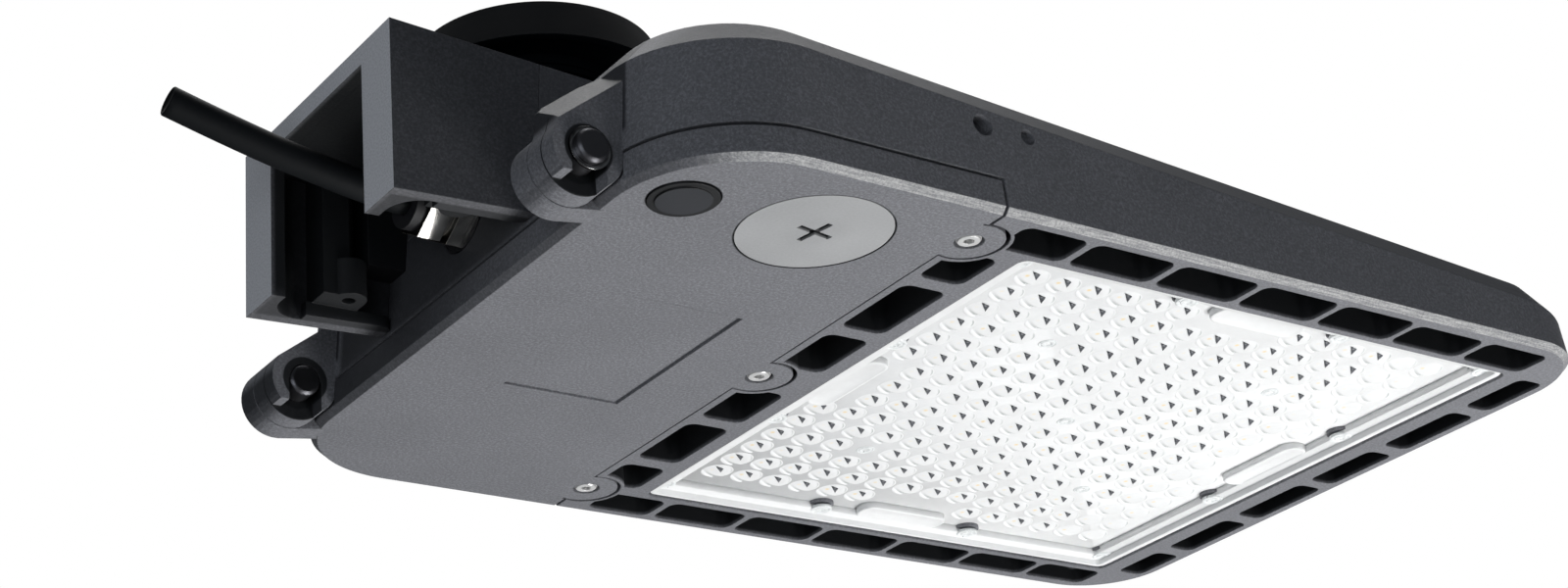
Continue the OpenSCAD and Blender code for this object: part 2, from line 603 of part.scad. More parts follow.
module photocell_receptacle() color(black_c) up(0) translate([cell_x, 0, 0])
    difference() {
        union() {
            translate([0, 0, 63.4]) cylinder(r = 33, h = 4);
            translate([0, 0, 54]) cylinder(r = 15.5, h = 11);
            translate([0, 0, 63.4]) cylinder(r = 24, h = 13.6);
        }
        // curved contact slots
        for (a = [0, 120, 240]) rotate([0, 0, a]) intersection() {
            difference() { postz(0, 0, 14.9, 66, 80); postz(0, 0, 10.1, 65, 81); }
            translate([0, 0, 66]) linear_extrude(14) polygon([[0, -0.4], [20, -3.6], [20, 12], [2, 2]]);
        }
        for (a = [45, 135, 225, 315]) rotate([0, 0, a]) postz(27, 0, 1.9, 60, 70);
    }
module receptacle_gasket() color(rubber_c) up(0) translate([cell_x, 0, 0])
    difference() {
        translate([0, 0, 62.4]) cylinder(r = 33.5, h = 1);
        translate([0, 0, 60]) cylinder(r = 16.5, h = 5);
        for (a = [45, 135, 225, 315]) rotate([0, 0, a]) postz(27, 0, 1.9, 60, 70);
    }
module receptacle_screws() color(steel_c) up(0) translate([cell_x, 0, 0])
    for (a = [45, 135, 225, 315]) rotate([0, 0, a]) { postz(27, 0, 3, 67.4, 69.6); postz(27, 0, 1.5, 59, 68); }
module photocell() color(black_c) up(0) translate([cell_x, 0, 0]) {
    difference() {
        union() {
            translate([0, 0, cell_h]) cylinder(r1 = cell_r, r2 = cell_r2, h = cell_top - cell_h);
            translate([0, 0, cell_top]) cylinder(r1 = cell_r2, r2 = cell_r2 - 9, h = 2.6);
            translate([0, 0, cell_top + 2.6]) cylinder(r1 = cell_r2 - 9, r2 = cell_r2 - 26, h = 2);
            translate([0, 0, 77.4]) cylinder(r = 25, h = 4);
        }
        translate([0, 0, cell_h - 1]) difference() { cylinder(r = cell_r - 3, h = 4); cylinder(r = 26, h = 5); }
    }
    // three contact blades
    for (a = [0, 120, 240]) rotate([0, 0, a]) translate([10.8, -0.75, 68]) cube([3.4, 1.5, 10]);
}

housing();
mounting_arm();
arm_screws();
hinge_pins();
hinge_clips();
driver_door();
door_gasket();
door_screw_near();
door_screw_mid();
door_screw_far();
sensor_cover();
cover_oring();
selector_plug();
selector_switch();
selector_slider();
lens_panel();
lens_gasket();
lens_screws();
led_board();
led_chips();
driver();
driver_screws();
surge_protector();
terminal_block();
inner_wires();
cable_gland();
gland_nut();
gland_seal();
gland_washer();
power_cable();
photocell_receptacle();
receptacle_gasket();
receptacle_screws();
photocell();
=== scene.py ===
import math
import random

import bmesh
import bpy
from mathutils import Matrix, Vector


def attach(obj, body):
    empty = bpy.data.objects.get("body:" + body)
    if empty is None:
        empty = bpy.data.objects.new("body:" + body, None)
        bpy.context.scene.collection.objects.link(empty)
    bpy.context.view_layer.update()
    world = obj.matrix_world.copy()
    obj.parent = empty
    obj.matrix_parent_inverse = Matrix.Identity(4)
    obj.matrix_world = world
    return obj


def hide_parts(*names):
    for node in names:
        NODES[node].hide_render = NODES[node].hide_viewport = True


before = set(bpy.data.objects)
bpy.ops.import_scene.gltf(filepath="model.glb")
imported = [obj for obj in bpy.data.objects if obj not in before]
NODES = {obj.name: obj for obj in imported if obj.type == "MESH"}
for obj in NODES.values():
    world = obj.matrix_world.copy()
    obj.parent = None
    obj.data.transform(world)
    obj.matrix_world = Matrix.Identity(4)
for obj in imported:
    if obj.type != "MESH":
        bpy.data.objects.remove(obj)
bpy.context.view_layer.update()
scene = bpy.context.scene
scene.view_settings.view_transform = "Standard"
scene.view_settings.look = "None"

ORIGIN_H = 0.0618
COVER = (109.4 / 1000, -92 / 1000)
PLUG = (63.9 / 1000, -93.9 / 1000)
HINGE = (35.1 / 1000, 9.45 / 1000 - ORIGIN_H)


def P(x, y, h):
    """A point given in millimetres, with its height above the flat underside, in the row frame in metres."""
    return Vector((x / 1000, y / 1000, h / 1000 - ORIGIN_H))


# ---------------------------------------------------------------- camera
cam_data = bpy.data.cameras.new("camera")
cam = bpy.data.objects.new("camera", cam_data)
scene.collection.objects.link(cam)
cam_data.lens = 64.07
cam_data.sensor_width = 36
cam_data.clip_start = 0.01
cam_data.clip_end = 60
forward = Vector((0.54844, 0.72579, 0.41526)).normalized()
right = Vector((0.81731, -0.57023, -0.08279))
right = (right - forward * right.dot(forward)).normalized()
upward = right.cross(forward).normalized()
turn = Matrix((right, upward, -forward)).transposed()
cam.matrix_world = Matrix.Translation((-0.3277, -0.6535, -0.4047)) @ turn.to_4x4()
scene.camera = cam


# ---------------------------------------------------------------- helpers
def new_object(name, verts, faces, smooth=True):
    me = bpy.data.meshes.new(name)
    me.from_pydata([tuple(v) for v in verts], [], faces)
    me.validate()
    me.update()
    for p in me.polygons:
        p.use_smooth = smooth
    o = bpy.data.objects.new(name, me)
    scene.collection.objects.link(o)
    return o


class Mat:
    """A small builder for node materials."""

    def __init__(self, name):
        self.m = bpy.data.materials.new(name)
        self.m.use_nodes = True
        self.t = self.m.node_tree
        self.t.nodes.clear()
        self.out = self.t.nodes.new("ShaderNodeOutputMaterial")
        self.b = self.t.nodes.new("ShaderNodeBsdfPrincipled")
        self.t.links.new(self.b.outputs[0], self.out.inputs[0])
        self.coord = self.t.nodes.new("ShaderNodeTexCoord").outputs["Object"]

    def put(self, **values):
        for k, v in values.items():
            self.b.inputs[k.replace("_", " ")].default_value = v
        return self

    def link(self, a, b):
        self.t.links.new(a, b)

    def node(self, kind, **inputs):
        n = self.t.nodes.new(kind)
        for k, v in inputs.items():
            n.inputs[k].default_value = v
        return n

    def noise(self, scale, detail=2.0, rough=0.5, stretch=None):
        n = self.t.nodes.new("ShaderNodeTexNoise")
        n.inputs["Scale"].default_value = scale
        n.inputs["Detail"].default_value = detail
        n.inputs["Roughness"].default_value = rough
        c = self.coord
        if stretch:
            mp = self.t.nodes.new("ShaderNodeMapping")
            mp.inputs["Scale"].default_value = stretch
            self.link(c, mp.inputs["Vector"])
            c = mp.outputs["Vector"]
        self.link(c, n.inputs["Vector"])
        return n.outputs["Fac"]

    def ramp(self, fac, stops):
        r = self.t.nodes.new("ShaderNodeValToRGB")
        e = r.color_ramp.elements
        while len(e) < len(stops):
            e.new(0.5)
        for i, (p, c) in enumerate(stops):
            e[i].position = p
            e[i].color = (*c, 1) if len(c) == 3 else c
        self.link(fac, r.inputs["Fac"])
        return r.outputs["Color"]

    def mapr(self, fac, a, b, c, d, smooth=False):
        r = self.t.nodes.new("ShaderNodeMapRange")
        if smooth:
            r.interpolation_type = "SMOOTHSTEP"
        for i, v in zip((1, 2, 3, 4), (a, b, c, d)):
            r.inputs[i].default_value = v
        self.link(fac, r.inputs["Value"])
        return r.outputs["Result"]

    def math(self, op, a, b=None):
        n = self.t.nodes.new("ShaderNodeMath")
        n.operation = op
        for i, v in enumerate((a, b)):
            if v is None:
                continue
            if isinstance(v, (int, float)):
                n.inputs[i].default_value = v
            else:
                self.link(v, n.inputs[i])
        return n.outputs[0]

    def mix(self, fac, a, b, mode="MIX"):
        n = self.t.nodes.new("ShaderNodeMix")
        n.data_type = "RGBA"
        n.blend_type = mode
        for sock, v in ((n.inputs["Factor"], fac), (n.inputs["A"] if False else n.inputs[6], a), (n.inputs[7], b)):
            if isinstance(v, (int, float)):
                sock.default_value = v
            elif isinstance(v, tuple):
                sock.default_value = (*v, 1) if len(v) == 3 else v
            else:
                self.link(v, sock)
        return n.outputs[2]

    def bump(self, height, strength=0.1, distance=0.0002, bevel=0.0):
        n = self.t.nodes.new("ShaderNodeBump")
        n.inputs["Strength"].default_value = strength
        n.inputs["Distance"].default_value = distance
        self.link(height, n.inputs["Height"])
        if bevel:
            v = self.t.nodes.new("ShaderNodeBevel")
            v.samples = 4
            v.inputs["Radius"].default_value = bevel
            self.link(v.outputs[0], n.inputs["Normal"])
        self.link(n.outputs[0], self.b.inputs["Normal"])
        return self


def shade(c, k):
    return tuple(max(0.0, min(1.0, v * k)) for v in c[:3])


def paint(name, base, rough=0.5, grain=0.3, bump=0.4, bevel=0.0006, spec=0.4, edge=None):
    """Textured powder coat: fine grain in colour, gloss and relief, slow tone changes and a few light specks."""
    m = Mat(name)
    fine = m.noise(1150, 3, 0.7)
    coarse = m.noise(30, 3, 0.55)
    speck = m.noise(1700, 1, 0.5)
    g = m.mapr(fine, 0.3, 0.7, -1, 1)
    tone = m.math("ADD", m.math("MULTIPLY", g, grain), m.math("MULTIPLY", m.mapr(coarse, 0.3, 0.7, -1, 1), 0.05))
    col = m.ramp(m.mapr(tone, -1, 1, 0, 1), [(0.0, shade(base, 0.3)), (0.5, base), (1.0, shade(base, 2.2))])
    bright = m.mapr(speck, 0.66, 0.78, 0, 1)
    col = m.mix(m.math("MULTIPLY", bright, 0.3), col, shade(base, 2.4))
    if edge:
        col = edge(m, col, fine)
    m.link(col, m.b.inputs["Base Color"])
    m.link(m.mapr(fine, 0.3, 0.7, rough - 0.07, rough + 0.09), m.b.inputs["Roughness"])
    m.put(Specular_IOR_Level=spec)
    m.bump(fine, bump, 0.00012, bevel)
    return m


def band(m, z, lo, hi, soft=0.0002):
    """1 where z lies between lo and hi."""
    a = m.mapr(z, lo - soft, lo + soft, 0, 1)
    b = m.mapr(z, hi - soft, hi + soft, 1, 0)
    return m.math("MULTIPLY", a, b)


def from_axis(m, p, at):
    """Distance from an upright axis."""
    dx, dy = m.math("SUBTRACT", p["X"], at[0]), m.math("SUBTRACT", p["Y"], at[1])
    return m.math("SQRT", m.math("ADD", m.math("MULTIPLY", dx, dx), m.math("MULTIPLY", dy, dy)))


def inside(m, p, x0, x1, y0, y1, h0, h1, soft=0.0006):
    """1 inside a box given in millimetres, with |y| between y0 and y1 and the lower side fading in over h0 to h1."""
    ax = band(m, p["X"], x0 / 1000, x1 / 1000, soft)
    ay = band(m, m.math("ABSOLUTE", p["Y"]), y0 / 1000, y1 / 1000, soft)
    up = m.mapr(p["Z"], h0 / 1000 - ORIGIN_H, h1 / 1000 - ORIGIN_H, 0, 1, True)
    return m.math("MULTIPLY", m.math("MULTIPLY", ax, ay), up)


def places(m):
    """Object coordinates and true normal, split."""
    geo = m.t.nodes.new("ShaderNodeNewGeometry")
    sn = m.t.nodes.new("ShaderNodeSeparateXYZ")
    m.link(geo.outputs["True Normal"], sn.inputs[0])
    sp = m.t.nodes.new("ShaderNodeSeparateXYZ")
    m.link(m.coord, sp.inputs[0])
    return {k: sp.outputs[k] for k in "XYZ"}, {k: sn.outputs[k] for k in "XYZ"}


def painted_highlight_and_shade(m, col, fine):
    """Painted highlight on the chamfer along the near and far lower edges, in lighter, sparkling lines where it faces
    sideways; painted shade on walls turned from the light, in the slots and hooks and round the cover and plug.
    """
    p, nrm = places(m)
    # painted highlight: sideways-facing parts of the lower chamfer are lightened in streaky, sparkling lines
    slope = band(m, nrm["Z"], -0.86, -0.5, 0.05)
    low = m.mapr(p["Z"], -ORIGIN_H + 0.0023, -ORIGIN_H + 0.0030, 1, 0)
    along = m.mapr(m.math("ABSOLUTE", nrm["Y"]), 0.45, 0.66, 0, 1, True)
    k = m.math("MULTIPLY", m.math("MULTIPLY", slope, low), along)
    lines = m.mapr(m.noise(1000, 3, 0.65, (0.12, 2.2, 2.2)), 0.38, 0.62, 0.0, 1.0)
    spark = m.mapr(m.noise(1500, 2, 0.6), 0.36, 0.6, 0.45, 1.0)
    col = m.mix(m.math("MULTIPLY", m.math("MULTIPLY", k, spark), m.mapr(lines, 0, 1, 0.35, 1.0)), col, (0.58, 0.58, 0.57))
    # painted shade: walls turned to the pole get little light and are darkened, as is the door's rear skirt
    back = m.mapr(nrm["X"], -0.9, -0.6, 1, 0)
    mid = m.mapr(m.math("ABSOLUTE", p["Y"]), 0.074, 0.077, 1, 0)
    high = m.mapr(p["Z"], 0.010 - ORIGIN_H, 0.013 - ORIGIN_H, 0, 1)
    rear = m.math("MULTIPLY", m.math("MULTIPLY", back, mid), m.math("MULTIPLY", high, m.mapr(p["X"], 0.072, 0.076, 1, 0)))
    glow = m.mapr(p["Y"], -0.056, -0.024, 0.12, 0.72, True)
    col = m.mix(m.math("MULTIPLY", rear, glow), col, (0.006, 0.007, 0.009))
    skirt = m.math("MULTIPLY", m.math("MULTIPLY", back, m.mapr(p["X"], 0.060, 0.064, 1, 0)), m.math("SUBTRACT", 1.0, high))
    col = m.mix(m.math("MULTIPLY", skirt, m.mapr(p["Y"], -0.06, 0.05, 0.0, 0.76, True)), col, (0.006, 0.007, 0.009))
    # painted shade: the lower chamfer where it turns to the pole is darkened
    rear_chamfer_shade = m.math("MULTIPLY", m.math("MULTIPLY", slope, low), m.mapr(nrm["X"], -0.62, -0.4, 1, 0))
    col = m.mix(m.math("MULTIPLY", rear_chamfer_shade, 0.4), col, (0.02, 0.021, 0.025))
    # painted shade: ridges of the towers, the upward-sloping shoulders along the sides and the flanks of the raised
    # block are darkened
    ay = m.math("ABSOLUTE", p["Y"])
    ridge = m.math("MULTIPLY", m.math("MULTIPLY", band(m, ay, 0.0775, 0.0935, 0.0005), m.mapr(p["X"], 0.052, 0.06, 1, 0)), m.math("MULTIPLY", m.mapr(p["Z"], 0.0165 - ORIGIN_H, 0.0185 - ORIGIN_H, 0, 1), m.mapr(m.math("ABSOLUTE", nrm["Y"]), 0.94, 0.97, 1, 0)))
    shoulder = m.math("MULTIPLY", m.math("MULTIPLY", band(m, nrm["Z"], 0.15, 0.88, 0.04), m.mapr(ay, 0.1, 0.108, 0, 1)), high)
    col = m.mix(m.math("MULTIPLY", shoulder, 0.45), col, (0.012, 0.013, 0.017))
    block = m.math("MULTIPLY", m.math("MULTIPLY", band(m, ay, 0.040, 0.068, 0.0005), m.mapr(m.math("ABSOLUTE", nrm["Y"]), 0.5, 0.8, 0, 1)), m.math("MULTIPLY", m.mapr(p["X"], 0.11, 0.13, 1, 0), high))
    col = m.mix(m.math("MAXIMUM", m.math("MULTIPLY", ridge, 0.86), m.math("MULTIPLY", block, 0.6)), col, (0.012, 0.013, 0.017))
    # unlit gap between pin and tower
    ax = m.math("SUBTRACT", p["X"], HINGE[0])
    az = m.math("SUBTRACT", p["Z"], HINGE[1])
    rad = m.math("SQRT", m.math("ADD", m.math("MULTIPLY", ax, ax), m.math("MULTIPLY", az, az)))
    gap = m.math("MULTIPLY", m.mapr(rad, 0.0074, 0.0078, 1, 0), m.mapr(m.math("ABSOLUTE", p["Y"]), 0.0775, 0.0785, 0, 1))
    col = m.mix(m.math("MULTIPLY", gap, 0.93), col, (0.003, 0.004, 0.005))
    # painted shade deep inside the vent slots and in the hook recesses
    dark = inside(m, p, 162, 389.5, 106, 122.4, 0.15, 1.6)
    dark = m.math("MAXIMUM", dark, inside(m, p, 153.6, 171, -1, 101, 0.15, 1.6))
    dark = m.math("MAXIMUM", dark, inside(m, p, 393, 406, -1, 104, 0.15, 1.6))
    dark = m.math("MULTIPLY", dark, m.mapr(p["Z"], 0.018 - ORIGIN_H, 0.022 - ORIGIN_H, 1, 0))
    hook = m.math("MAXIMUM", band(m, p["Y"], -0.0863, -0.0857, 0.0001), band(m, p["Y"], 0.0852, 0.0858, 0.0001))
    hook = m.math("MULTIPLY", hook, m.math("MULTIPLY", band(m, p["X"], 0.0235, 0.0409, 0.0002), m.mapr(p["Z"], 0.0195 - ORIGIN_H, 0.0205 - ORIGIN_H, 1, 0)))
    dark = m.math("MAXIMUM", dark, hook)
    # shadow lines round the cover and the plug
    seat = m.math("MAXIMUM", m.mapr(from_axis(m, p, COVER), 0.0233, 0.0237, 1, 0), m.mapr(from_axis(m, p, PLUG), 0.0106, 0.0109, 1, 0))
    dark = m.math("MAXIMUM", dark, m.math("MULTIPLY", seat, m.mapr(p["Z"], 0.0034 - ORIGIN_H, 0.0042 - ORIGIN_H, 1, 0)))
    return m.mix(m.math("MULTIPLY", dark, 0.95), col, (0.003, 0.004, 0.005))


def cover_look(m, col, fine):
    """Painted shade in the dark cross slot, and a painted highlight to one side with painted shade at the middle, so
    the face looks slightly dished.
    """
    p, nrm = places(m)
    r = from_axis(m, p, COVER)
    # painted shade in the cross slot
    deep = m.math("MULTIPLY", m.mapr(r, 0.0075, 0.008, 1, 0), band(m, p["Z"], 0.0008 - ORIGIN_H, 0.0024 - ORIGIN_H, 0.0002))
    # painted highlight to one side and painted shade at the middle give the dished look
    tilt_highlight = m.mapr(m.math("SUBTRACT", m.math("MULTIPLY", m.math("SUBTRACT", p["X"], COVER[0]), 1.0), m.math("MULTIPLY", m.math("SUBTRACT", p["Y"], COVER[1]), 0.5)), -0.02, 0.02, 0.0, 0.1)
    dish_shade = m.math("MULTIPLY", m.mapr(r, 0.004, 0.013, 1, 0, True), 0.12)
    col = m.mix(m.math("MULTIPLY", tilt_highlight, 1.0), col, (0.6, 0.6, 0.6))
    col = m.mix(dish_shade, col, (0.16, 0.16, 0.16))
    return m.mix(m.math("MULTIPLY", deep, 0.93), col, (0.004, 0.004, 0.005))


def plug_look(m, col, fine):
    """Black glossy rim round a dull face."""
    p, nrm = places(m)
    r = from_axis(m, p, PLUG)
    rim = m.mapr(r, 0.0078, 0.0081, 0, 1)
    return m.mix(m.math("MULTIPLY", rim, 0.9), col, (0.003, 0.0035, 0.004))


def arm_look(m, col, fine):
    """Lighter pole end, painted shade on the sides and in the unlit hollow."""
    p, nrm = places(m)
    # painted shade: faces turned sideways or to the pole are darkened
    side = m.math("MAXIMUM", m.mapr(m.math("ABSOLUTE", nrm["Y"]), 0.6, 0.8, 0, 1), m.mapr(nrm["X"], -0.8, -0.6, 1, 0))
    col = m.mix(m.math("MULTIPLY", side, 0.4), col, (0.012, 0.014, 0.02))
    end = m.math("MULTIPLY", m.mapr(p["X"], 0.0004, 0.0009, 1, 0), m.mapr(nrm["X"], -0.8, -0.6, 1, 0))
    spark = m.mapr(m.noise(1500, 3, 0.7), 0.34, 0.62, 0.72, 1.0)
    col = m.mix(m.math("MULTIPLY", end, spark), col, (0.74, 0.75, 0.78))
    dark = inside(m, p, 1.0, 60, -1, 43.4, 6, 15)
    dark = m.math("MULTIPLY", dark, m.mapr(p["Z"], 0.0588 - ORIGIN_H, 0.0594 - ORIGIN_H, 1, 0))
    return m.mix(m.math("MULTIPLY", dark, 0.97), col, (0.002, 0.003, 0.004))


def plastic(name, base, rough=0.35, bump=0.1, scale=700, vary=0.12, spec=0.5, bevel=0.0003, coat=0.0, edge=None):
    m = Mat(name)
    a = m.noise(scale, 3, 0.6)
    b = m.noise(40, 2, 0.5)
    t = m.math("ADD", m.math("MULTIPLY", a, 0.5), m.math("MULTIPLY", b, 0.5))
    col = m.ramp(t, [(0.3, shade(base, 1 - vary)), (0.7, shade(base, 1 + vary))])
    if edge:
        col = edge(m, col, a)
    m.link(col, m.b.inputs["Base Color"])
    m.link(m.mapr(b, 0.3, 0.7, rough - 0.04, rough + 0.06), m.b.inputs["Roughness"])
    m.put(Specular_IOR_Level=spec)
    if coat:
        m.put(Coat_Weight=coat, Coat_Roughness=0.1)
    m.bump(a, bump, 0.00008, bevel)
    return m


def metal(name, base, rough=0.2, scratch=0.1, bevel=0.0003, stretch=(1, 1, 12), vary=0.12, bands=None, metallic=1.0, drive=None):
    """Bare metal; bands paints reflections into the colour, dark and light zones by the way the surface faces, like
    plating in a dark room.
    """
    m = Mat(name)
    a = m.noise(500, 3, 0.6, stretch)
    b = m.noise(60, 3, 0.6)
    t = m.math("ADD", m.math("MULTIPLY", a, 0.4), m.math("MULTIPLY", b, 0.6))
    col = m.ramp(t, [(0.3, shade(base, 1 - vary)), (0.7, base)])
    # painted reflection: dark and bright zones set by which way the surface faces
    if bands:
        v = m.t.nodes.new("ShaderNodeBevel")
        v.samples = 4
        v.inputs["Radius"].default_value = bevel * 2
        d = m.t.nodes.new("ShaderNodeVectorMath")
        d.operation = "DOT_PRODUCT"
        m.link(v.outputs[0], d.inputs[0])
        d.inputs[1].default_value = bands[0]
        f = m.math("ADD", d.outputs["Value"], m.mapr(m.noise(110, 2, 0.5), 0.3, 0.7, -0.12, 0.12))
        zone = m.ramp(m.mapr(f, -1, 1, 0, 1), bands[1])
        col = m.mix(1.0, col, zone, "MULTIPLY")
    if drive:
        sp = m.t.nodes.new("ShaderNodeSeparateXYZ")
        m.link(m.coord, sp.inputs[0])
        least = None
        for x, y in drive:
            dx, dy = m.math("SUBTRACT", sp.outputs["X"], x / 1000), m.math("SUBTRACT", sp.outputs["Y"], y / 1000)
            r = m.math("SQRT", m.math("ADD", m.math("MULTIPLY", dx, dx), m.math("MULTIPLY", dy, dy)))
            least = r if least is None else m.math("MINIMUM", least, r)
        # painted shade in the drive recess and a painted shadow ring round each head
        col = m.mix(m.math("MULTIPLY", m.mapr(least, 0.0013, 0.0017, 1, 0), 0.9), col, (0.015, 0.015, 0.017))
        col = m.mix(m.math("MULTIPLY", band(m, least, 0.0034, 0.0037, 0.0001), 0.5), col, (0.1, 0.1, 0.1))
    m.link(col, m.b.inputs["Base Color"])
    m.put(Metallic=metallic)
    m.link(m.mapr(b, 0.3, 0.7, max(0.02, rough - 0.06), rough + 0.08), m.b.inputs["Roughness"])
    m.bump(a, scratch, 0.00005, bevel)
    return m


# ---------------------------------------------------------------- cord
route = [(38, -3, 33.2), (33, -3, 33.2), (28, -3, 33.2), (20, -2.9, 33.9), (12, -2.6, 35.2), (4, -2.2, 36.9),
         (-5, -1.6, 39), (-15, -1, 41.5), (-25, -0.6, 44.2), (-35, -0.3, 47), (-46, 0, 50.2)]


def smooth_route(points, steps=6):
    """Catmull-Rom points through the listed route."""
    pts = [Vector(p) for p in points]
    pts = [pts[0] * 2 - pts[1]] + pts + [pts[-1] * 2 - pts[-2]]
    out = []
    for i in range(1, len(pts) - 2):
        for k in range(steps):
            t = k / steps
            a, b, c, d = pts[i - 1], pts[i], pts[i + 1], pts[i + 2]
            out.append(0.5 * ((2 * b) + (c - a) * t + (2 * a - 5 * b + 4 * c - d) * t * t + (3 * b - a - 3 * c + d) * t ** 3))
    out.append(pts[-2])
    return [P(*p) for p in out]


line = smooth_route(route)
tube_v, tube_f, RIM = [], [], 28
steps = [(p, 0.0046) for p in line]
tip = line[-1]
run = (line[-1] - line[-2]).normalized()
steps[-1] = (tip - run * 0.0003, 0.0046)
steps += [(tip, 0.0043), (tip, 0.0037), (tip - run * 0.0004, 0.0036)]
for k, (c, r) in enumerate(steps):
    a, b = steps[max(0, k - 1)][0], steps[min(len(steps) - 1, k + 1)][0]
    t = run if k >= len(line) - 1 else (b - a).normalized()
    n1 = t.cross(Vector((0, 1, 0))).normalized()
    n2 = t.cross(n1)
    for q in range(RIM):
        w = 2 * math.pi * q / RIM
        tube_v.append(c + (n1 * math.cos(w) + n2 * math.sin(w)) * r)
for k in range(len(steps) - 1):
    for q in range(RIM):
        j = (q + 1) % RIM
        tube_f.append((k * RIM + q, k * RIM + j, (k + 1) * RIM + j, (k + 1) * RIM + q))
tube_f.append(tuple(range(RIM)))
tube_f.append(tuple(reversed(range(len(tube_v) - RIM, len(tube_v)))))
cable = new_object("power_cable_jacket", tube_v, tube_f)
bm = bmesh.new()
bm.from_mesh(cable.data)
bmesh.ops.recalc_face_normals(bm, faces=bm.faces)
bm.to_mesh(cable.data)
bm.free()
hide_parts("power_cable")
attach(cable, "fixture")

# ---------------------------------------------------------------- materials of the CAD nodes
CAST = (0.165, 0.168, 0.182)
DOOR = (0.13, 0.13, 0.138)
cast = paint("cast_paint", CAST, 0.55, 0.4, 0.5, edge=painted_highlight_and_shade)
# painted shade: the arm takes the cast paint darkened to 0.55
arm_shaded_paint = paint("arm_shaded_paint", shade(CAST, 0.55), 0.62, grain=0.5, edge=arm_look)
door_paint = paint("door_paint", CAST, 0.55, 0.45, 0.5, edge=painted_highlight_and_shade)
cover = plastic("cover_plastic", (0.36, 0.365, 0.37), 0.42, 0.12, 1200, edge=cover_look)
black = plastic("black_plastic", (0.0032, 0.0046, 0.0062), 0.6, spec=0.06)
rubber = plastic("black_rubber", (0.012, 0.012, 0.014), 0.55, 0.2, 900)
jacket = plastic("cable_jacket", (0.004, 0.005, 0.006), 0.6, 0.15, 800, spec=0.15)
plug_m = plastic("plug_rubber", (0.024, 0.026, 0.031), 0.4, 0.1, 900, edge=plug_look)
# chrome and clip steel carry painted reflections in bands set by facing
chrome = metal("chrome", (0.9, 0.88, 0.84), 0.1, 0.03, vary=0.06, bands=((0.35, -0.55, -0.76), [(0.0, (0.02, 0.02, 0.022)), (0.42, (0.05, 0.048, 0.045)), (0.5, (0.95, 0.9, 0.8)),
               (0.62, (1, 1, 1)), (0.66, (0.06, 0.06, 0.06)), (0.78, (0.12, 0.11, 0.1)), (0.84, (0.9, 0.8, 0.62)), (0.93, (1, 1, 1)), (1.0, (0.5, 0.5, 0.5))]), metallic=0.8)
bright_chrome = metal("bright_chrome", (0.95, 0.95, 0.94), 0.12, 0.03, vary=0.05, metallic=0.4, drive=((154, -106.3), (154, 1), (154, 106.3)))
clip_m = metal("clip_steel", (0.5, 0.5, 0.5), 0.12, 0.05, bevel=0.0004, bands=((0.3, -0.8, -0.52), [(0.0, (0.02, 0.02, 0.02)), (0.5, (0.03, 0.03, 0.03)), (0.86, (0.06, 0.06, 0.06)), (0.9, (1, 1, 1)), (1.0, (0.9, 0.9, 0.9))]))
steel = metal("steel", (0.72, 0.72, 0.73), 0.22, 0.1)
dark_steel = metal("dark_steel", (0.13, 0.13, 0.14), 0.36, 0.08, bevel=0.0012)
white_pl = plastic("white_plastic", (0.75, 0.75, 0.72), 0.4)
board = plastic("board_white", (0.88, 0.89, 0.87), 0.35, 0.05)
silicone = plastic("white_silicone", (0.78, 0.78, 0.75), 0.5)
phosphor = plastic("phosphor", (0.85, 0.62, 0.1), 0.4)
alu = metal("driver_case", (0.66, 0.66, 0.67), 0.4, 0.15, stretch=(1, 14, 1))
lens_m = plastic("clear_sheet", (0.9, 0.92, 0.92), 0.16, 0.02, 300, 0.03)

LOOK = {
    "housing": cast, "mounting_arm": arm_shaded_paint, "arm_screws": steel, "hinge_pins": dark_steel, "hinge_clips": clip_m,
    "driver_door": door_paint, "door_gasket": rubber, "door_screw_near": bright_chrome, "door_screw_mid": bright_chrome, "door_screw_far": bright_chrome,
    "sensor_cover": cover, "cover_oring": rubber, "selector_plug": plug_m, "selector_switch": white_pl, "selector_slider": black,
    "lens_panel": lens_m, "lens_gasket": silicone, "lens_screws": steel, "led_board": board, "led_chips": phosphor,
    "driver": alu, "driver_screws": steel, "surge_protector": black, "terminal_block": white_pl, "inner_wires": rubber,
    "cable_gland": chrome, "gland_nut": chrome, "gland_seal": rubber, "gland_washer": rubber,
    "photocell_receptacle": black, "receptacle_gasket": rubber, "receptacle_screws": steel, "photocell": black,
}
for n, m in LOOK.items():
    o = NODES[n]
    o.data.materials.clear()
    o.data.materials.append(m.m)
    for p in o.data.polygons:
        p.material_index = 0
cable.data.materials.append(jacket.m)

# ---------------------------------------------------------------- moulded optic sheet
MID, PITCH = 281.3, 12.3
OUTER = [(MID + i * 67, s * 97.6) for s in (-1, 1) for i in (-1.5, -0.5, 0.5, 1.5)] + [(MID + s * 98.6, i * 66) for s in (-1, 1) for i in (-0.5, 0.5)]
INNER = [(MID + a * PITCH, b * PITCH) for a in (-4, 4) for b in (-4, 4)] + [(MID, 0)]
rnd = random.Random(7)


def smooth(t):
    t = max(0.0, min(1.0, t))
    return t * t * (3 - 2 * t)


